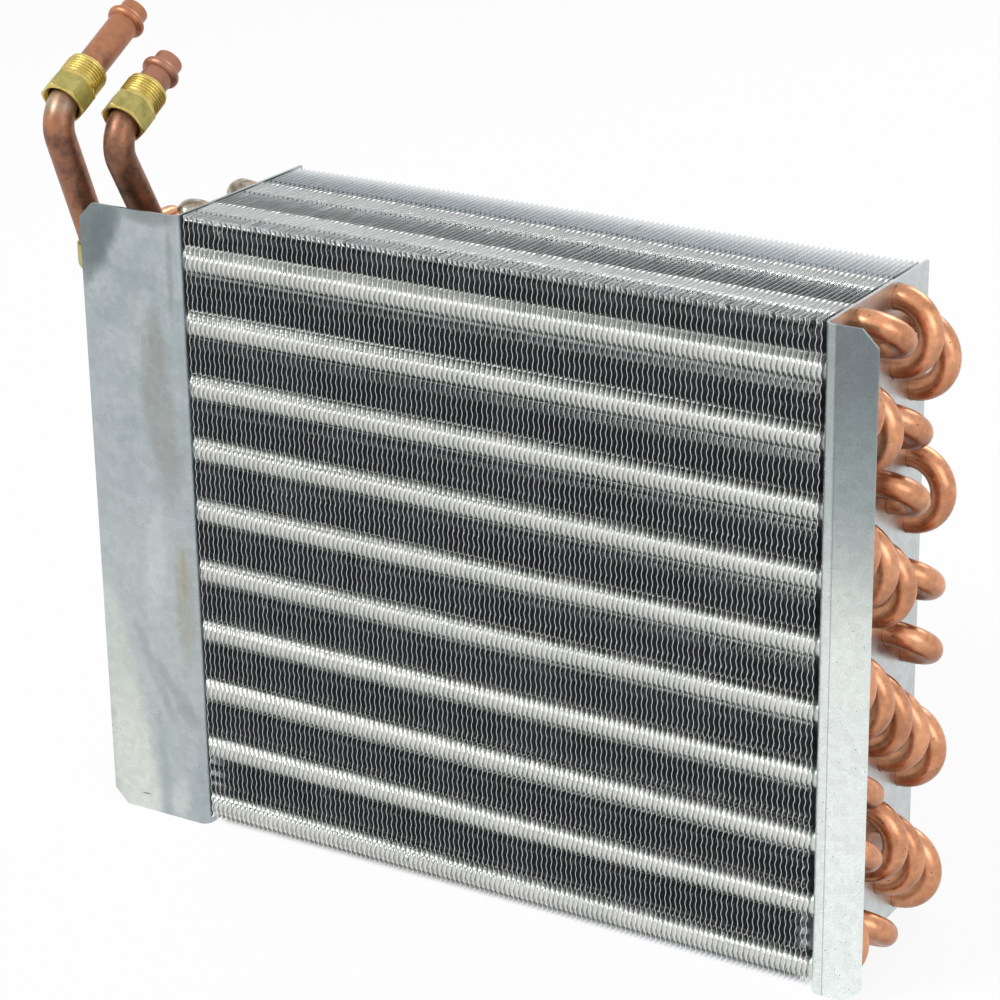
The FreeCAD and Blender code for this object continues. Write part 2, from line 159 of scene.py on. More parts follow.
# Braze beads at the return bends: distance from the cup's mouth, and radius
cup_mouth = -6.3
cup_radius = 5.2125
return_start = -6.5
bead_steps = (
    (-1.2, 5.24), (-0.5, 5.4), (0.2, 5.5), (2.0, 5.75), (4.0, 6.15), (5.3, 6.3), (6.4, 6.05),
    (7.6, 5.4), (8.6, 4.82),
)
bead_inner_radius = 4.55
bead_sides = 24
bead_swell = (0.85, 1.15)
# Lumps of a bead: waves round it, height, and twist per millimetre
bead_lumps = ((2, 0.12, 0.5), (3, 0.08, -0.8), (5, 0.05, 0.0))
return_labels = (
    (52, 51), (50, 40), (41, 30), (20, 10), (44, 43), (32, 42), (31, 21), (22, 12), (45, 34),
    (33, 23), (24, 14), (15, 25), (57, 47), (46, 35), (36, 27), (16, 17), (58, 49), (48, 37),
    (38, 39), (29, 19),
)

# Captive nuts
nut_across_flats = 17.0
nut_hex_length = 9.5
nut_neck_diameter = 15.2
nut_neck_length = 2.0
nut_thread_diameter = 17.0
nut_thread_length = 8.5
nut_bore = 13.7
nut_entry_chamfer = 1.0
nut_entry_depth = 1.3
nut_thread_chamfer = 0.8
nut_corner_round = 0.12
nut_bevel_angle = 30.0
nut_bevel_steps = 6
thread_pitch = 1.3
thread_end_ring = 1.7
thread_end_drop = 0.3
thread_depth = 0.78
thread_rings_per_turn = 12
thread_steepness = 1.35
thread_root = 0.18
nut_sides = 72
nut_turn = 20.0
nut_smooth_angle = 24.0
# Nut: node, body, corner of its tube, rise of the tube and station on it
nuts = (
    ("outlet_nut", "outlet_nut_body", (-33.0, 3.147, 279.0), 29.3, 8.2),
    ("inlet_nut", "inlet_nut_body", (-55.0, -3.647, 286.7), 29.0, 6.7),
)

# Camera: place from the corner of the block, turns in radians, lens and sensor in millimetres
camera_place = (708.78, -922.84, 583.64)
camera_yaw = -0.5531
camera_pitch = 0.3678
camera_roll = -0.016
camera_lens = 115.14
camera_sensor = 36.0
camera_range = (0.05, 30.0)

# Floor, surrounding light and lamps; the glow ends in a band inside the edge of the block
floor_half = 6.0
floor_tint = (0.93, 0.93, 0.93, 1.0)
floor_roughness = 0.9
floor_glow = 0.9
glow_band = (-6.5, -1.2)
room_tint = (0.97, 0.985, 1.0, 1.0)
room_light = 0.5
lamp_target = (0.0, 0.0, 0.13)
# Lamp: name, place, size and level
lamps = (
    ("key", (-0.9, -1.6, 1.7), 0.9, 0.55),
    ("fill", (1.8, -0.9, 0.9), 1.2, 0.2),
    ("back", (0.4, 1.7, 1.5), 0.9, 0.25),
)

# Sizes that follow
block_height = tube_columns * tube_pitch
block_depth = 2 * row_setback + (tube_rows - 1) * row_pitch
web_distance = left_fin_gap + (fin_count - 1) * fin_pitch + solid_fin_gauge + right_fin_gap
shank_start = nut_hex_length + nut_neck_length
shank_end = shank_start + nut_thread_length
half_flat_angle = math.pi / 6
fin_corner = np.array(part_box("fin_pack")[0]) / mm
block_origin = fin_corner - (left_fin_gap, 0, fin_lift)


def tube_place(label):
    """Return the Y and Z of a tube's axis."""
    row, column = divmod(label, row_label)
    drop = high_row_drop if row % 2 == 0 else low_row_drop
    return row_setback + (row - 1) * row_pitch, block_height - drop - column * tube_pitch


def mesh_piece(name, vertices, faces, material, body, sharp_angle):
    """Make a smooth mesh piece that rides on a body; edges that turn by more stay sharp."""
    mesh = bpy.data.meshes.new(name)
    points = (np.asarray(vertices, dtype=float) + block_origin) * mm
    mesh.from_pydata(points.tolist(), [], faces)
    work = bmesh.new()
    work.from_mesh(mesh)
    bmesh.ops.recalc_face_normals(work, faces=work.faces)
    work.to_mesh(mesh)
    work.free()
    mesh.polygons.foreach_set("use_smooth", [True] * len(mesh.polygons))
    mesh.set_sharp_from_angle(angle=math.radians(sharp_angle))
    mesh.update()
    piece = bpy.data.objects.new(name, mesh)
    bpy.context.scene.collection.objects.link(piece)
    mesh.materials.append(material)
    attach(piece, body)
    return piece


# Materials


def new_material(name):
    material = bpy.data.materials.new(name)
    material.use_nodes = True
    tree = material.node_tree
    tree.nodes.clear()
    output = tree.nodes.new("ShaderNodeOutputMaterial")
    shader = tree.nodes.new("ShaderNodeBsdfPrincipled")
    tree.links.new(shader.outputs["BSDF"], output.inputs["Surface"])
    return material, tree, shader


def connect(tree, socket, value):
    """Link a socket, or set it to a number or a tuple."""
    if isinstance(value, bpy.types.NodeSocket):
        tree.links.new(value, socket)
    elif isinstance(value, tuple) and len(socket.default_value) == 4:
        socket.default_value = (*value, 1.0)
    else:
        socket.default_value = value


def block_place(tree):
    """Places in millimetres from the corner of the block."""
    coordinates = tree.nodes.new("ShaderNodeTexCoord")
    mapping = tree.nodes.new("ShaderNodeMapping")
    mapping.inputs["Scale"].default_value = (1 / mm, 1 / mm, 1 / mm)
    mapping.inputs["Location"].default_value = tuple(-block_origin)
    tree.links.new(coordinates.outputs["Object"], mapping.inputs["Vector"])
    return mapping.outputs["Vector"]


def vector_node(tree, operation, first, second=(0, 0, 0), output="Vector"):
    node = tree.nodes.new("ShaderNodeVectorMath")
    node.operation = operation
    connect(tree, node.inputs[0], first)
    connect(tree, node.inputs[1], second)
    return node.outputs[output]


def math_node(tree, operation, first, second=0.0):
    node = tree.nodes.new("ShaderNodeMath")
    node.operation = operation
    connect(tree, node.inputs[0], first)
    connect(tree, node.inputs[1], second)
    return node.outputs[0]


def axis_node(tree, vector, axis):
    node = tree.nodes.new("ShaderNodeSeparateXYZ")
    tree.links.new(vector, node.inputs[0])
    return node.outputs[axis]


def noise_node(tree, vector, scale, detail=3.0, roughness=0.55, distortion=0.0):
    node = tree.nodes.new("ShaderNodeTexNoise")
    node.inputs["Scale"].default_value = scale
    node.inputs["Detail"].default_value = detail
    node.inputs["Roughness"].default_value = roughness
    node.inputs["Distortion"].default_value = distortion
    tree.links.new(vector, node.inputs["Vector"])
    return node.outputs["Fac"]


def range_node(tree, source, start, end, low=0.0, high=1.0, smooth=True):
    """Map start to low and end to high."""
    node = tree.nodes.new("ShaderNodeMapRange")
    node.interpolation_type = "SMOOTHSTEP" if smooth else "LINEAR"
    for name, value in (("From Min", start), ("From Max", end), ("To Min", low), ("To Max", high)):
        connect(tree, node.inputs[name], value)
    tree.links.new(source, node.inputs["Value"])
    return node.outputs["Result"]


def ramp_node(tree, source, stops):
    """A colour ramp; stops are (position, colour or grey)."""
    node = tree.nodes.new("ShaderNodeValToRGB")
    elements = node.color_ramp.elements
    while len(elements) < len(stops):
        elements.new(0.5)
    for element, (position, colour) in zip(elements, stops):
        element.position = position
        if isinstance(colour, (int, float)):
            colour = (colour, colour, colour)
        element.color = (*colour, 1.0)
    tree.links.new(source, node.inputs["Fac"])
    return node.outputs["Color"]


def mix_node(tree, factor, first, second, blend="MIX"):
    """Mix two colours, at the node's sockets 6 and 7; each is a socket or a colour."""
    node = tree.nodes.new("ShaderNodeMix")
    node.data_type = "RGBA"
    node.blend_type = blend
    connect(tree, node.inputs[0], factor)
    connect(tree, node.inputs[6], first)
    connect(tree, node.inputs[7], second)
    return node.outputs[2]


def bump_node(tree, height, strength, distance):
    node = tree.nodes.new("ShaderNodeBump")
    node.inputs["Strength"].default_value = strength
    node.inputs["Distance"].default_value = distance
    tree.links.new(height, node.inputs["Height"])
    return node.outputs["Normal"]


def blot_node(tree, vector, rough, middle, reach, slant=0.0, strength=1.0):
    """A soft patch: 1 in the middle and 0 past its reach; slant leans it over X as Z rises."""
    offset = vector_node(tree, "SUBTRACT", vector, middle)
    height = axis_node(tree, offset, 2)
    shear = tree.nodes.new("ShaderNodeCombineXYZ")
    tree.links.new(math_node(tree, "MULTIPLY", height, -slant), shear.inputs[0])
    leaned = vector_node(tree, "ADD", offset, shear.outputs[0])
    scaled = vector_node(tree, "DIVIDE", leaned, reach)
    distance = vector_node(tree, "LENGTH", scaled, output="Value")
    ragged = math_node(tree, "MULTIPLY", rough, patch_ragged)
    uneven = math_node(tree, "ADD", distance, ragged)
    return range_node(tree, uneven, *patch_edge, 0.0, strength)


def specks_node(tree, vector, scale, size, share):
    """Small dark pits, 0 at a pit and 1 elsewhere; share is how much of the surface has them."""
    cells = tree.nodes.new("ShaderNodeTexVoronoi")
    cells.inputs["Scale"].default_value = scale
    tree.links.new(vector, cells.inputs["Vector"])
    spot = range_node(tree, cells.outputs["Distance"], size * pit_core, size)
    chance = axis_node(tree, cells.outputs["Color"], 0)
    bare = range_node(tree, chance, share, share + share_step)
    return math_node(tree, "MAXIMUM", spot, bare)


def fin_material(name, low, high, smooth, rough, edge_tint, edge_rough, back_shade_tint):
    """Aluminium with tints low and high, duller top and bottom edges, painted shade at the back top.
    """
    material, tree, shader = new_material(name)
    vector = block_place(tree)
    cloud = noise_node(tree, vector, scale=0.06, detail=2.0)
    colour = ramp_node(tree, cloud, [(noise_low, low), (noise_high, high)])
    height = axis_node(tree, vector, 2)
    top = range_node(tree, height, block_height - edge_zone, block_height - edge_zone / 2)
    bottom = range_node(tree, height, edge_zone + bottom_rise, edge_zone)
    edge = math_node(tree, "MAXIMUM", top, bottom)
    colour = mix_node(tree, edge, colour, edge_tint)
    depth = axis_node(tree, vector, 1)
    # Painted shade on the back of the fins near the top
    far = range_node(tree, depth, *back_shade_depth)
    near_top = range_node(tree, height, *(block_height - below for below in back_shade_top))
    colour = mix_node(tree, math_node(tree, "MULTIPLY", far, near_top), colour, back_shade_tint)
    # Dark lines across the top edges at the given depths
    for line_depth in top_dark_lines:
        apart = math_node(tree, "ABSOLUTE", math_node(tree, "SUBTRACT", depth, line_depth))
        line = math_node(tree, "MULTIPLY", range_node(tree, apart, *dark_line_fade), top)
        colour = mix_node(tree, line, colour, dark_line_tint)
    roughness = range_node(tree, cloud, noise_low, noise_high, smooth, rough)
    duller = range_node(tree, edge, 0.0, 1.0, roughness, edge_rough)
    tree.links.new(colour, shader.inputs["Base Color"])
    tree.links.new(duller, shader.inputs["Roughness"])
    shader.inputs["Metallic"].default_value = 1.0
    # A faint painted glow, which lifts the darkest gaps between the fins
    shader.inputs["Emission Color"].default_value = painted_glow_tint
    shader.inputs["Emission Strength"].default_value = painted_glow
    return material


def sheet_finish(tree, shader, vector, base, speck_share, grain_depth):
    """Spangle, fine grain and dark specks over the base colour of a galvanised sheet."""
    spangle = tree.nodes.new("ShaderNodeTexVoronoi")
    spangle.inputs["Scale"].default_value = 0.35
    tree.links.new(vector, spangle.inputs["Vector"])
    cells = ramp_node(tree, spangle.outputs["Color"], [(0.2, 0.94), (0.8, 1.03)])
    grain_noise = noise_node(tree, vector, scale=1.3, detail=3.0, roughness=0.7)
    grain = ramp_node(tree, grain_noise, [(noise_low, 1 - grain_depth), (0.72, 1 + grain_depth)])
    colour = mix_node(tree, 1.0, base, cells, "MULTIPLY")
    colour = mix_node(tree, 1.0, colour, grain, "MULTIPLY")
    specks = specks_node(tree, vector, scale=0.5, size=0.14, share=speck_share)
    colour = mix_node(tree, specks, (0.22, 0.235, 0.235), colour)
    wear = noise_node(tree, vector, scale=0.05)
    rough = range_node(tree, wear, noise_low, noise_high, 0.26, 0.4)
    tree.links.new(colour, shader.inputs["Base Color"])
    tree.links.new(rough, shader.inputs["Roughness"])
    bump = bump_node(tree, grain_noise, strength=0.1, distance=0.0003)
    tree.links.new(bump, shader.inputs["Normal"])
    shader.inputs["Metallic"].default_value = 1.0


def left_plate_material():
    """Galvanised sheet with stains and other patches, dark spangle at the top and a lighter lower
    edge.
    """
    material, tree, shader = new_material("galvanised_left")
    vector = block_place(tree)
    uneven = noise_node(tree, vector, scale=0.06, detail=4.0, distortion=0.5)
    rough = math_node(tree, "SUBTRACT", uneven, 0.5)
    colour = ramp_node(tree, uneven, [
        (noise_low, (0.37, 0.42, 0.435)), (0.72, (0.49, 0.535, 0.55)),
    ])
    # Middle (X, Z), reach (X, Z), slant, tint and strength of each patch
    patches = (
        ((-25.0, 78.0), (34.0, 52.0), 0.0, (0.52, 0.57, 0.575), 0.6),
        ((-12.0, 253.0), (12.0, 4.0), 0.0, (0.27, 0.30, 0.30), 0.8),
        ((-41.0, 62.0), (9.0, 36.0), -0.2, (0.62, 0.66, 0.62), 0.8),
        ((-37.0, 20.0), (10.5, 30.0), 0.0, (0.71, 0.75, 0.69), 0.9),
        ((-30.0, 8.0), (6.5, 18.0), 0.0, (0.70, 0.74, 0.69), 0.8),
        ((-13.0, 9.0), (4.5, 9.0), 0.1, (0.60, 0.63, 0.62), 0.8),
        ((-20.0, 24.0), (1.9, 20.0), -0.05, (0.42, 0.47, 0.49), 0.8),
        ((-22.0, 62.0), (3.0, 20.0), -0.42, (0.40, 0.44, 0.455), 0.75),
        ((-8.0, 50.0), (4.0, 8.0), -0.3, (0.36, 0.40, 0.415), 0.7),
        ((-15.0, 58.0), (2.4, 11.0), -0.5, (0.38, 0.42, 0.435), 0.7),
        ((-13.0, 176.0), (7.0, 32.0), -0.1, (0.355, 0.375, 0.365), 0.85),
        ((-13.0, 204.0), (3.2, 13.0), -0.05, (0.335, 0.35, 0.335), 0.6),
        ((-6.0, 96.0), (4.0, 24.0), 0.0, (0.41, 0.41, 0.37), 0.8),
        ((-5.5, 107.0), (1.2, 11.0), 0.0, (0.40, 0.37, 0.27), 0.7),
        ((-19.0, 110.0), (4.5, 22.0), 0.1, (0.57, 0.62, 0.63), 0.7),
        ((-41.5, 241.0), (8.5, 17.0), 0.2, (0.19, 0.225, 0.235), 0.95),
        ((-34.5, 245.0), (6.0, 11.0), 0.35, (0.18, 0.215, 0.225), 0.85),
        ((-22.0, 226.0), (10.0, 4.5), 0.6, (0.34, 0.385, 0.40), 0.45),
        ((-4.4, 232.0), (1.4, 16.0), 0.0, (0.30, 0.33, 0.33), 0.6),
        ((-30.4, 7.0), (1.9, 0.3), 2.5, (0.15, 0.16, 0.17), 0.9),
    )
    for (x, z), (reach_x, reach_z), slant, tint, strength in patches:
        reach = (reach_x, block_depth, reach_z)
        mask = blot_node(tree, vector, rough, (x, 0.0, z), reach, slant, strength)
        colour = mix_node(tree, mask, colour, tint)
    sheet_finish(tree, shader, vector, colour, speck_share=0.06, grain_depth=0.07)
    return material


def right_plate_material():
    """Galvanised sheet whose flange has painted shade at the top and painted light further down."""
    material, tree, shader = new_material("galvanised_right")
    vector = block_place(tree)
    uneven = noise_node(tree, vector, scale=0.05, detail=4.0, distortion=0.5)
    height = math_node(tree, "DIVIDE", axis_node(tree, vector, 2), block_height)
    shifted = math_node(tree, "MULTIPLY", math_node(tree, "SUBTRACT", uneven, 0.5), 0.05)
    # Painted light and shade on the flange: dark at the top, bright further down
    front = ramp_node(tree, math_node(tree, "ADD", height, shifted), [
        (0.0, (0.88, 0.935, 0.91)), (0.28, (0.84, 0.885, 0.865)), (0.52, (0.79, 0.835, 0.805)),
        (0.58, (0.72, 0.76, 0.735)), (0.63, (0.59, 0.63, 0.605)), (0.69, (0.465, 0.50, 0.49)),
        (0.75, (0.34, 0.385, 0.39)), (0.81, (0.285, 0.33, 0.335)), (0.87, (0.24, 0.28, 0.285)),
        (0.94, (0.195, 0.222, 0.232)),
    ])
    web = ramp_node(tree, uneven, [
        (noise_low, (0.52, 0.55, 0.56)), (noise_high, (0.64, 0.67, 0.67)),
    ])
    across = axis_node(tree, vector, 0)
    # Painted highlight along the rounded fold
    fold_highlight = range_node(tree, across, *(web_distance + out for out in fold_highlight_fade))
    front = mix_node(tree, math_node(tree, "MULTIPLY", fold_highlight, 0.35), front, (0.72, 0.77, 0.76))
    # Painted shade: a dark line along the crease
    crease = math_node(tree, "SUBTRACT", across, web_distance + flange_crease)
    shade = range_node(tree, math_node(tree, "ABSOLUTE", crease), *crease_shade_fade, 0.0, 0.5)
    front = mix_node(tree, shade, front, (0.20, 0.22, 0.22))
    depth = range_node(tree, axis_node(tree, vector, 1), *web_start)
    colour = mix_node(tree, depth, front, web)
    sheet_finish(tree, shader, vector, colour, speck_share=0.35, grain_depth=0.12)
    return material


def copper_material(name, light, dark, mottle, smooth, rough, underside_shade, bare, patches=()):
    """Drawn copper with painted shade underneath, and pits; bare is how free of tarnish it is.

    A patch has its middle, its reach, its tint and its strength.
    """
    material, tree, shader = new_material(name)
    vector = block_place(tree)
    cloud = noise_node(tree, vector, scale=0.07, detail=4.0, distortion=0.5)
    fine = noise_node(tree, vector, scale=0.45, detail=4.0, roughness=0.65)
    colour = ramp_node(tree, cloud, [(0.36, dark), (0.62, light)])
    streaks = ramp_node(tree, fine, [(noise_low, 0.82), (noise_high, 1.12)])
    colour = mix_node(tree, 1.0, colour, streaks, "MULTIPLY")
    stains = noise_node(tree, vector, scale=0.16, detail=5.0, roughness=0.6, distortion=0.3)
    stain = ramp_node(tree, stains, [
        (0.36, (1 - mottle, 1 - mottle, 1 - 0.9 * mottle)), (0.5, 1.0),
        (0.66, (1 + 0.7 * mottle, 1 + 0.35 * mottle, 1.0)),
    ])
    colour = mix_node(tree, 1.0, colour, stain, "MULTIPLY")
    uneven = math_node(tree, "SUBTRACT", cloud, 0.5)
    for middle, reach, tint, strength in patches:
        mask = blot_node(tree, vector, uneven, middle, reach, 0.0, strength)
        colour = mix_node(tree, mask, colour, tint)
    # Painted shade: faces that point down get a darker colour
    geometry = tree.nodes.new("ShaderNodeNewGeometry")
    upward = axis_node(tree, geometry.outputs["Normal"], 2)
    shade = ramp_node(tree, range_node(tree, upward, -1.0, 1.0, smooth=False), [
        (0.05, (underside_shade, underside_shade * 0.9, underside_shade * 0.86)), (0.5, (1.0, 1.0, 1.0)),
    ])
    colour = mix_node(tree, 1.0, colour, shade, "MULTIPLY")
    specks = specks_node(tree, vector, scale=0.3, size=0.11, share=0.5)
    colour = mix_node(tree, specks, (0.10, 0.045, 0.03), colour)
    tree.links.new(colour, shader.inputs["Base Color"])
    roughness = range_node(tree, fine, noise_low, 0.75, smooth, rough)
    tree.links.new(roughness, shader.inputs["Roughness"])
    bump = bump_node(tree, fine, strength=0.1, distance=0.0003)
    tree.links.new(bump, shader.inputs["Normal"])
    shader.inputs["Metallic"].default_value = bare
    return material


def braze_material():
    """Silver braze, duller where it is thin."""
    material, tree, shader = new_material("silver_braze")
    vector = block_place(tree)
    cloud = noise_node(tree, vector, scale=0.35, detail=3.0)
    colour = ramp_node(tree, cloud, [
        (noise_low, (0.20, 0.17, 0.13)), (0.52, (0.40, 0.36, 0.29)), (0.72, (0.60, 0.57, 0.50)),
    ])
    tree.links.new(colour, shader.inputs["Base Color"])
    roughness = range_node(tree, cloud, noise_low, noise_high, 0.45, 0.28)
    tree.links.new(roughness, shader.inputs["Roughness"])
    bump = bump_node(tree, cloud, strength=0.3, distance=0.0006)
    tree.links.new(bump, shader.inputs["Normal"])
    shader.inputs["Metallic"].default_value = 1.0
    return material


def brass_material(name, dark, light, smooth, rough, bare):
    """Brass; bare is how free of tarnish it is."""
    material, tree, shader = new_material(name)
    vector = block_place(tree)
    cloud = noise_node(tree, vector, scale=0.16, detail=3.0)
    fine = noise_node(tree, vector, scale=1.1, detail=3.0)
    colour = ramp_node(tree, cloud, [(0.38, dark), (0.62, light)])
    grain = ramp_node(tree, fine, [(noise_low, 0.93), (noise_high, 1.05)])
    colour = mix_node(tree, 1.0, colour, grain, "MULTIPLY")
    tree.links.new(colour, shader.inputs["Base Color"])
    roughness = range_node(tree, fine, noise_low, 0.75, smooth, rough)
    tree.links.new(roughness, shader.inputs["Roughness"])
    bump = bump_node(tree, cloud, strength=0.1, distance=0.0001)
    tree.links.new(bump, shader.inputs["Normal"])
    shader.inputs["Metallic"].default_value = bare
    return material


fin_stock = fin_material(
    "fin_stock", low=(0.90, 0.91, 0.91), high=(0.95, 0.955, 0.955), smooth=0.07, rough=0.14,
    edge_tint=(0.84, 0.86, 0.87), edge_rough=0.36, back_shade_tint=(0.77, 0.79, 0.80))
# Collars: a darker copy of the fin aluminium, painted shade where they sit between the fins
collar_shaded_stock = fin_material(
    "collar_shaded_stock", low=(0.64, 0.645, 0.615), high=(0.74, 0.745, 0.72), smooth=0.24, rough=0.36,
    edge_tint=(0.64, 0.64, 0.61), edge_rough=0.36, back_shade_tint=(0.60, 0.61, 0.60))
bend_copper = copper_material(
    "bend_copper", light=(0.75, 0.365, 0.205), dark=(0.56, 0.25, 0.13), mottle=0.14,
    smooth=0.27, rough=0.38, underside_shade=0.46, bare=0.9)
header_copper = copper_material(
    "header_copper", light=(0.38, 0.18, 0.10), dark=(0.27, 0.12, 0.07), mottle=0.3,
    smooth=0.34, rough=0.46, underside_shade=0.6, bare=0.75)
inlet_copper = copper_material(
    "inlet_copper", light=(0.38, 0.175, 0.095), dark=(0.25, 0.12, 0.075), mottle=0.38,
    smooth=0.34, rough=0.5, underside_shade=0.8, bare=0.65, patches=(
        ((-57.0, 2.0, 289.0), (6.5, 6.0, 5.0), (0.48, 0.44, 0.32), 0.7),
        ((-60.0, 4.0, 284.0), (4.0, 6.0, 6.0), (0.40, 0.30, 0.12), 0.75),
        ((-55.0, 52.0, 318.0), (14.0, 30.0, 22.0), (0.46, 0.19, 0.095), 0.75),
        ((-61.0, 34.4, 301.7), (1.3, 1.3, 1.3), (0.10, 0.05, 0.035), 0.9),
        ((-61.0, 36.5, 297.3), (1.1, 1.1, 1.1), (0.10, 0.05, 0.035), 0.9),
    ))
outlet_copper = copper_material(
    "outlet_copper", light=(0.27, 0.125, 0.07), dark=(0.18, 0.088, 0.053), mottle=0.38,
    smooth=0.34, rough=0.5, underside_shade=0.8, bare=0.65, patches=(
        ((-38.0, 24.0, 263.0), (4.0, 5.0, 9.0), (0.34, 0.27, 0.14), 0.7),
        ((-33.0, 45.0, 305.0), (14.0, 26.0, 18.0), (0.43, 0.195, 0.125), 0.85),
    ))
silver_braze = braze_material()
# Turned brass for the chamfers, neck and thread: partly a brighter machined finish, partly painted
# highlight
turned_brass_with_painted_highlight = brass_material(
    "turned_brass_with_painted_highlight", dark=(0.54, 0.415, 0.115), light=(0.69, 0.555, 0.18), smooth=0.28,
    rough=0.36, bare=0.85)
drawn_brass = brass_material(
    "drawn_brass", dark=(0.32, 0.27, 0.075), light=(0.47, 0.405, 0.13), smooth=0.36,
    rough=0.44, bare=0.55)
left_sheet = left_plate_material()
right_sheet = right_plate_material()

node_materials = {
    "left_end_plate": left_sheet,
    "right_end_plate": right_sheet,
    "suction_header": header_copper,
    "outlet_pipe": outlet_copper,
    "inlet_pipe": inlet_copper,
    "inlet_elbow": drawn_brass,
    "distributor": turned_brass_with_painted_highlight,
}
for node_name, node in nodes.items():
    finish = node_materials.get(node_name, bend_copper)
    node.data.materials.clear()
    node.data.materials.append(finish)


# Fins


def fin_middle(fin):
    """The X of a fin's middle plane, where it neither waves nor leans."""
    numbers = np.linspace(0, fin_count - 1, len(drift_steps))
    drift = np.interp(fin, numbers, drift_steps)
    return left_fin_gap + solid_fin_gauge / 2 + fin * fin_pitch + drift


def fin_lean(z):
    return np.interp(z, lean_heights, lean_steps)


def outer_ring():
    """Stations round the edge of a fin, from its lower front corner up the front."""
    front_steps = round((block_height - fin_lift) / ripple_period * front_ripple_steps)
    back_steps = round((block_height - fin_lift) / ripple_period * back_ripple_steps)
    up = np.linspace(fin_lift, block_height, front_steps, endpoint=False)
    across = np.linspace(0, block_depth, end_steps, endpoint=False)
    down = np.linspace(block_height, fin_lift, back_steps, endpoint=False)
    y = np.concatenate([up * 0, across, down * 0 + block_depth, block_depth - across])
    z = np.concatenate([up, across * 0 + block_height, down, across * 0 + fin_lift])
    return y, z


def inner_ring():
    """Stations of the flat middle of a fin, in the same order."""
    low = fin_lift + ripple_depth
    high = block_height - ripple_depth
    near = ripple_depth
    far = block_depth - ripple_depth
    levels = np.linspace(low, high, inner_levels + 1)
    across = np.linspace(near, far, inner_end_steps + 1)[1:-1]
    y = np.concatenate([levels * 0 + near, across, levels * 0 + far, across[::-1]])
    z = np.concatenate([levels, across * 0 + high, levels[::-1], across * 0 + low])
    return y, z


def fin_sheet():
    """Stations of one side of a fin, the count of its edge stations, and its faces."""
    outer_y, outer_z = outer_ring()
    inner_y, inner_z = inner_ring()
    count = len(outer_y)
    apart = np.hypot(outer_y[:, None] - inner_y[None, :], outer_z[:, None] - inner_z[None, :])
    nearest = apart.argmin(axis=1)
    faces = []
    for index in range(count):
        ahead = (index + 1) % count
        face = [index, ahead, count + nearest[ahead]]
        if nearest[index] != nearest[ahead]:
            face.append(count + nearest[index])
        faces.append(face)
    front = [count + level for level in range(inner_levels + 1)]
    top = [front[-1] + 1 + step for step in range(inner_end_steps - 1)]
    back = [top[-1] + 1 + level for level in range(inner_levels + 1)][::-1]
    bottom = [back[0] + 1 + step for step in range(inner_end_steps - 1)]
    for level in range(inner_levels):
        face = [front[level], front[level + 1]]
        if level == inner_levels - 1:
            face += top
        face += [back[level + 1], back[level]]
        if level == 0:
            face += bottom
        faces.append(face)
    y = np.concatenate([outer_y, inner_y])
    z = np.concatenate([outer_z, inner_z])
    return y, z, count, faces


def fin_group(name, first, last):
    """A group of neighbouring fins as one piece."""
    y, z, count, sheet_faces = fin_sheet()
    total = len(y)
    on_side = (np.abs(y) < same_place) | (np.abs(y - block_depth) < same_place)
    wave = -ripple_height * np.cos(2 * math.pi * (z - ripple_start) / ripple_period)
    wave[~on_side] = 0.0
    lean = fin_lean(z)
    fin_faces = []
    for face in sheet_faces:
        fin_faces.append(face)
        fin_faces.append([total + index for index in reversed(face)])
    for index in range(count):
        ahead = (index + 1) % count
        fin_faces.append([ahead, index, total + index, total + ahead])
    vertices = []
    faces = []
    for fin in range(first, last):
        noise = np.random.default_rng(seed + fin)
        middle = fin_middle(fin)
        x = middle + wave * (1 + noise.normal(0.0, wave_spread)) + lean
        x = x + noise.normal(0.0, place_spread)
        wander = noise.normal(0.0, wander_spread, size=wander_steps)
        x = x + np.interp(z, np.linspace(0, block_height, wander_steps), wander)
        ends = noise.normal(0.0, top_spread, size=top_steps)
        ends[[0, -1]] = 0.0
        near_end = np.clip((z - block_height) / ripple_depth + 1, 0, 1)
        x = x + near_end * np.interp(y, np.linspace(0, block_depth, top_steps), ends)
        spots = [entry[1:] for entry in dents if entry[0] == fin]
        if noise.random() < front_bend_chance:
            spot_z = noise.uniform(front_bend_lowest, block_height)
            reach = noise.uniform(*front_bend_reach)
            spots.append((0.0, spot_z, reach, noise.normal(0.0, front_bend_push)))
        if noise.random() < top_bend_chance:
            spot_y = noise.uniform(0, block_depth)
            reach = noise.uniform(*top_bend_reach)
            spots.append((spot_y, block_height, reach, noise.normal(0.0, top_bend_push)))
        for spot_y, spot_z, reach, push in spots:
            distance = np.hypot(y - spot_y, z - spot_z) / reach
            x = x + push * np.exp(-distance ** 2)
        rise = bottom_rise * max(0.0, 1 - middle / bottom_rise_length)
        lifted = z + rise * np.clip(1 - (z - fin_lift) / bottom_rise_zone, 0, 1)
        start = 2 * total * (fin - first)
        for offset in (-fin_gauge / 2, fin_gauge / 2):
            vertices.append(np.stack([x + offset, y, lifted], axis=1))
        faces += [[start + index for index in face] for face in fin_faces]
    vertices = np.concatenate(vertices)
    return mesh_piece(name, vertices, faces, fin_stock, "core", fin_sharp_angle)


group_ends = [round(fin_count * index / fin_groups) for index in range(fin_groups + 1)]
for index in range(fin_groups):
    group = fin_group(f"fins_{index + 1}", group_ends[index], group_ends[index + 1])
    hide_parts("fin_pack")


# Collars


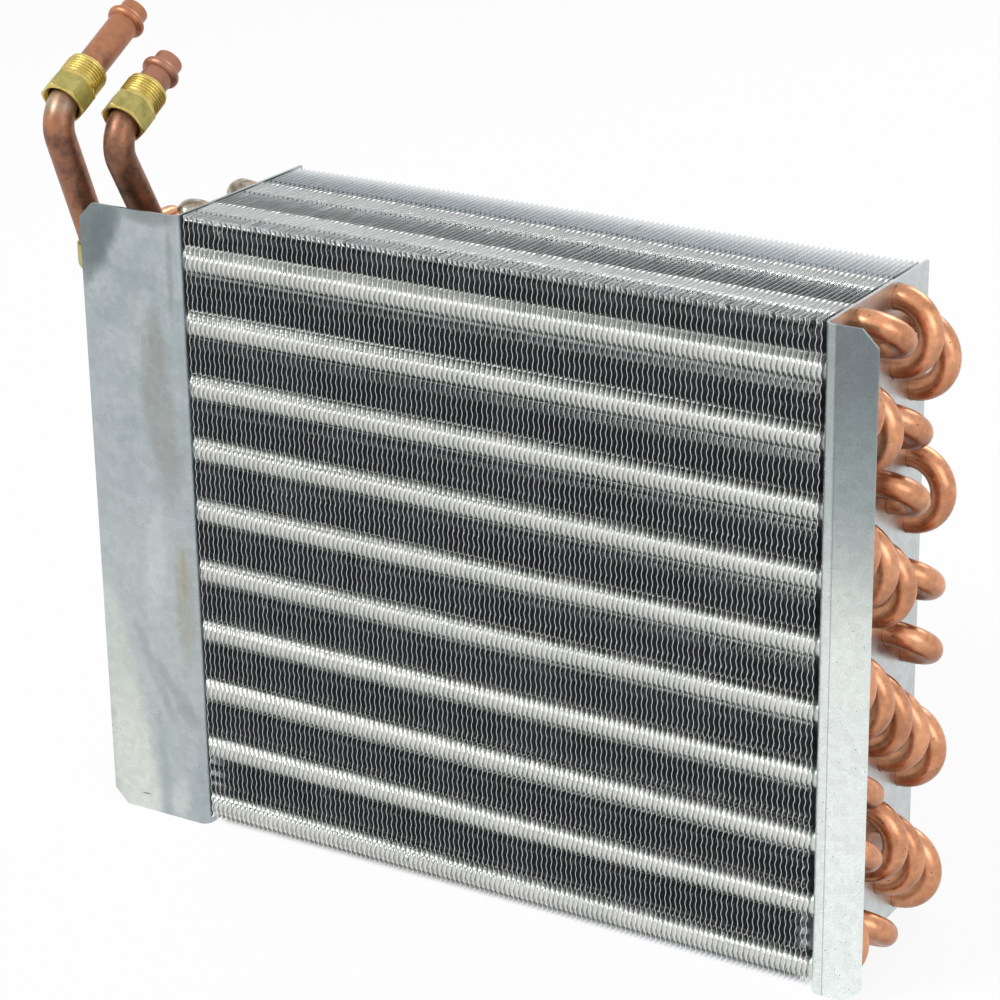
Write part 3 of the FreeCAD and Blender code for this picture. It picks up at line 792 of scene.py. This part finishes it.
def collar_row(name, labels, sides, detailed):
    """Drawn collars round some tubes, from web to web, as one piece."""
    angles = np.linspace(0, 2 * math.pi, sides, endpoint=False)
    vertices = []
    faces = []
    for label in labels:
        y, z = tube_place(label)
        profile = [(0.0, plain_collar_radius)]
        if detailed:
            for fin in range(fin_count):
                x = fin_middle(fin) + fin_lean(z)
                profile += [(x + step, radius) for step, radius in collar_steps]
        profile.append((web_distance, plain_collar_radius))
        base = len(vertices)
        for x, radius in profile:
            vertices += [(x, y + radius * math.cos(a), z + radius * math.sin(a)) for a in angles]
        for ring in range(len(profile) - 1):
            near = base + ring * sides
            for side in range(sides):
                ahead = (side + 1) % sides
                faces.append([near + side, near + ahead, near + sides + ahead, near + sides + side])
        faces.append([base + side for side in range(sides)])
        last = base + (len(profile) - 1) * sides
        faces.append([last + side for side in range(sides)])
    return mesh_piece(name, vertices, faces, collar_shaded_stock, "core", round_sharp_angle)


front_labels = [row_label + column for column in range(tube_columns)]
back_labels = [row_label * tube_rows + column for column in range(tube_columns)]
inner_labels = [
    row_label * row + column for row in range(2, tube_rows) for column in range(tube_columns)
    if row_label * row + column not in top_labels
]
collar_row("collars_front", front_labels, front_collar_sides, True)
collar_row("collars_back", back_labels, back_collar_sides, True)
collar_row("collars_top", top_labels, front_collar_sides, True)
collar_row("collars_inner", inner_labels, inner_collar_sides, False)


# Braze beads


def ring_faces(base, rings, sides, closed):
    """Faces between rings of vertices; closed joins the last ring to the first."""
    faces = []
    for ring in range(rings if closed else rings - 1):
        near = base + ring * sides
        far = base + (ring + 1) % rings * sides
        for side in range(sides):
            ahead = (side + 1) % sides
            faces.append([near + side, near + ahead, far + ahead, far + side])
    return faces


def return_station(label, other, distance):
    """Centre and direction on a return bend, at a distance past the cup's mouth."""
    here = np.array([cup_mouth, *tube_place(label)])
    there = np.array([cup_mouth, *tube_place(other)])
    radius = np.linalg.norm(there - here) / 2
    inward = (there - here) / (2 * radius)
    outward = np.array([-1.0, 0.0, 0.0])
    straight = cup_mouth - return_start
    if distance <= straight:
        return here + outward * distance, outward, inward
    angle = (distance - straight) / radius
    centre = here + outward * (straight + radius * math.sin(angle))
    centre = centre + inward * radius * (1 - math.cos(angle))
    direction = outward * math.cos(angle) + inward * math.sin(angle)
    side = inward * math.cos(angle) - outward * math.sin(angle)
    return centre, direction, side


def braze_beads():
    """The lumpy beads of all return bends, as one piece."""
    noise = np.random.default_rng(seed)
    angles = np.linspace(0, 2 * math.pi, bead_sides, endpoint=False)
    vertices = []
    faces = []
    inside = [(distance, bead_inner_radius) for distance, radius in reversed(bead_steps)]
    ends = [label for pair in return_labels for label in (pair, pair[::-1])]
    for label, other in ends:
        phases = noise.uniform(0, 2 * math.pi, size=len(bead_lumps))
        swell = noise.uniform(*bead_swell)
        base = len(vertices)
        for number, (distance, radius) in enumerate([*bead_steps, *inside]):
            centre, direction, side = return_station(label, other, distance)
            across = np.cross(direction, side)
            for angle in angles:
                reach = radius
                if 0 < number < len(bead_steps) - 1:
                    lump = sum(
                        height * math.sin(waves * angle + phase + twist * distance)
                        for (waves, height, twist), phase in zip(bead_lumps, phases))
                    reach = cup_radius + (radius - cup_radius) * swell + lump
                vertices.append(centre + reach * (side * math.cos(angle) + across * math.sin(angle)))
        faces += ring_faces(base, 2 * len(bead_steps), bead_sides, True)
    return mesh_piece(
        "braze_beads", vertices, faces, silver_braze, "core", round_sharp_angle)


braze_beads()


# Captive nuts


def hexagon_radius(angle):
    """Distance from the axis to a flat, or a little less at a corner."""
    turned = (angle - math.radians(nut_turn)) % (2 * half_flat_angle) - half_flat_angle
    flat = nut_across_flats / 2
    return min(flat / math.cos(turned), flat / math.cos(half_flat_angle) - nut_corner_round)


def nut_profile():
    """Rings of a nut along its axis, as (station, function of the angle that gives the radius)."""
    flat = nut_across_flats / 2
    corner = flat / math.cos(half_flat_angle)
    bevel = (corner - flat) * math.tan(math.radians(nut_bevel_angle))
    thread = nut_thread_diameter / 2
    bore = nut_bore / 2
    rings = []

    def hexagon_ring(station, limit):
        rings.append((station, lambda angle: min(hexagon_radius(angle), limit)))

    def round_ring(station, radius):
        rings.append((station, lambda angle: radius))

    def thread_ring(station):
        chamfer = min(station - shank_start, shank_end - station) + thread - nut_thread_chamfer

        def radius(angle):
            if station > shank_end - thread_end_ring:
                return min(thread - thread_end_drop, chamfer)
            phase = (station / thread_pitch - angle / (2 * math.pi)) % 1
            tooth = abs(2 * phase - 1) * thread_steepness - thread_root
            tooth = min(max(tooth, 0.0), 1.0)
            return min(thread - thread_depth * (1 - tooth), chamfer)

        rings.append((station, radius))

    round_ring(0.0, bore + nut_entry_chamfer)
    for step in range(nut_bevel_steps + 1):
        share = step / nut_bevel_steps
        hexagon_ring(bevel * share, flat + (corner - flat) * share)
    for step in range(nut_bevel_steps + 1):
        share = 1 - step / nut_bevel_steps
        hexagon_ring(nut_hex_length - bevel * share, flat + (corner - flat) * share)
    round_ring(nut_hex_length, nut_neck_diameter / 2)
    round_ring(shank_start, nut_neck_diameter / 2)
    turns = nut_thread_length / thread_pitch
    for station in np.linspace(shank_start, shank_end, round(turns * thread_rings_per_turn) + 1):
        thread_ring(float(station))
    round_ring(shank_end, bore)
    round_ring(nut_entry_depth, bore)
    return rings


def captive_nut(name, body, corner, rise, station):
    """A hexagon with a threaded shank, along the upper run of its tube.

    The flats get darker brass; the rest gets brighter turned brass with painted highlight.
    The thread is smooth all over.
    """
    slope = math.radians(rise)
    direction = np.array([0.0, math.cos(slope), math.sin(slope)])
    first = np.array([1.0, 0.0, 0.0])
    second = np.array([0.0, math.sin(slope), -math.cos(slope)])
    start = np.array(corner) + direction * station
    angles = math.radians(nut_turn) + np.linspace(0, 2 * math.pi, nut_sides, endpoint=False)
    rings = nut_profile()
    vertices = []
    for along, radius in rings:
        for angle in angles:
            out = first * math.cos(angle) + second * math.sin(angle)
            vertices.append(start + direction * along + out * radius(angle))
    faces = ring_faces(0, len(rings), nut_sides, True)
    nut = mesh_piece(
        f"turned_{name}", vertices, faces, turned_brass_with_painted_highlight, body, nut_smooth_angle)
    nut.data.materials.append(drawn_brass)
    flats = [
        0 < along < nut_hex_length and all(
            abs(radius(angle) - hexagon_radius(angle)) < same_place for angle in angles)
        for along, radius in rings
    ]
    for ring, (near, far) in enumerate(zip(flats, flats[1:])):
        if near and far:
            for face in range(ring * nut_sides, (ring + 1) * nut_sides):
                nut.data.polygons[face].material_index = 1
    threaded = [shank_start < along < shank_end for along, radius in rings]
    sharp = nut.data.attributes["sharp_edge"].data
    for edge in nut.data.edges:
        if all(threaded[vertex // nut_sides] for vertex in edge.vertices):
            sharp[edge.index].value = False
    return nut


for nut_name, nut_body, nut_corner, nut_rise, nut_station in nuts:
    nut = captive_nut(nut_name, nut_body, nut_corner, nut_rise, nut_station)
    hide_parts(nut_name)


# Stage, light and camera


def backdrop_share(tree, share):
    """1 on camera, glossy and transmission rays, times a share."""
    path = tree.nodes.new("ShaderNodeLightPath")
    seen = math_node(tree, "MAXIMUM", path.outputs["Is Camera Ray"], path.outputs["Is Glossy Ray"])
    seen = math_node(tree, "MAXIMUM", seen, path.outputs["Is Transmission Ray"])
    return math_node(tree, "MULTIPLY", seen, share)


def stage_floor():
    sides = (-floor_half, floor_half)
    corners = [(x, y, 0) for x in sides for y in sides]
    mesh = bpy.data.meshes.new("floor")
    mesh.from_pydata(corners, [], [(0, 2, 3, 1)])
    floor = bpy.data.objects.new("floor", mesh)
    bpy.context.scene.collection.objects.link(floor)
    material, tree, shader = new_material("pale_floor")
    shader.inputs["Base Color"].default_value = floor_tint
    shader.inputs["Roughness"].default_value = floor_roughness
    shader.inputs["Specular IOR Level"].default_value = 0.0
    glow = tree.nodes.new("ShaderNodeEmission")
    glow.inputs["Strength"].default_value = 1.0
    mix = tree.nodes.new("ShaderNodeMixShader")
    coordinates = tree.nodes.new("ShaderNodeTexCoord")
    half = np.array((web_distance / 2, block_depth / 2, 0))
    middle = block_origin + half
    offset = vector_node(tree, "SUBTRACT", coordinates.outputs["Object"], tuple(middle * mm))
    past = vector_node(tree, "SUBTRACT", vector_node(tree, "ABSOLUTE", offset), tuple(half * mm))
    farther = math_node(tree, "MAXIMUM", axis_node(tree, past, 0), axis_node(tree, past, 1))
    beside = range_node(tree, farther, *(edge * mm for edge in glow_band))
    share = math_node(tree, "MULTIPLY", backdrop_share(tree, floor_glow), beside)
    tree.links.new(share, mix.inputs["Fac"])
    tree.links.new(shader.outputs["BSDF"], mix.inputs[1])
    tree.links.new(glow.outputs["Emission"], mix.inputs[2])
    output = next(node for node in tree.nodes if node.type == "OUTPUT_MATERIAL")
    tree.links.new(mix.outputs["Shader"], output.inputs["Surface"])
    mesh.materials.append(material)


def set_world():
    world = bpy.data.worlds.new("studio")
    bpy.context.scene.world = world
    world.use_nodes = True
    tree = world.node_tree
    tree.nodes.clear()
    output = tree.nodes.new("ShaderNodeOutputWorld")
    light = tree.nodes.new("ShaderNodeBackground")
    light.inputs["Color"].default_value = room_tint
    light.inputs["Strength"].default_value = room_light
    white = tree.nodes.new("ShaderNodeBackground")
    white.inputs["Color"].default_value = (1.0, 1.0, 1.0, 1.0)
    white.inputs["Strength"].default_value = 1.0
    mix = tree.nodes.new("ShaderNodeMixShader")
    tree.links.new(backdrop_share(tree, 1.0), mix.inputs["Fac"])
    tree.links.new(light.outputs["Background"], mix.inputs[1])
    tree.links.new(white.outputs["Background"], mix.inputs[2])
    tree.links.new(mix.outputs["Shader"], output.inputs["Surface"])


def soft_lamp(name, place, size, level):
    """A square lamp; level is how bright it alone lights a white surface that faces it."""
    lamp = bpy.data.lights.new(name, "AREA")
    lamp.shape = "SQUARE"
    lamp.size = size
    place = Vector(place)
    target = Vector(lamp_target)
    distance = (place - target).length
    lamp.energy = level * (math.pi * distance) ** 2
    holder = bpy.data.objects.new(name, lamp)
    bpy.context.scene.collection.objects.link(holder)
    holder.location = place
    holder.rotation_mode = "QUATERNION"
    holder.rotation_quaternion = (target - place).to_track_quat("-Z", "Y")


def set_camera():
    turn = (
        Matrix.Rotation(camera_roll, 3, "Y")
        @ Matrix.Rotation(camera_pitch, 3, "X")
        @ Matrix.Rotation(camera_yaw, 3, "Z")
    )
    right = turn[0]
    forward = turn[1]
    up = turn[2]
    camera = bpy.data.cameras.new("camera")
    camera.lens = camera_lens
    camera.sensor_width = camera_sensor
    camera.clip_start, camera.clip_end = camera_range
    holder = bpy.data.objects.new("camera", camera)
    bpy.context.scene.collection.objects.link(holder)
    pose = Matrix((right, up, -forward)).transposed().to_4x4()
    pose.translation = Vector(block_origin + camera_place) * mm
    holder.matrix_world = pose
    bpy.context.scene.camera = holder


stage_floor()
set_world()
for lamp in lamps:
    soft_lamp(*lamp)
set_camera()

scene = bpy.context.scene
scene.cycles.max_bounces = 14
scene.cycles.glossy_bounces = 12
scene.cycles.diffuse_bounces = 4
scene.view_settings.view_transform = "Standard"
bpy.context.view_layer.update()
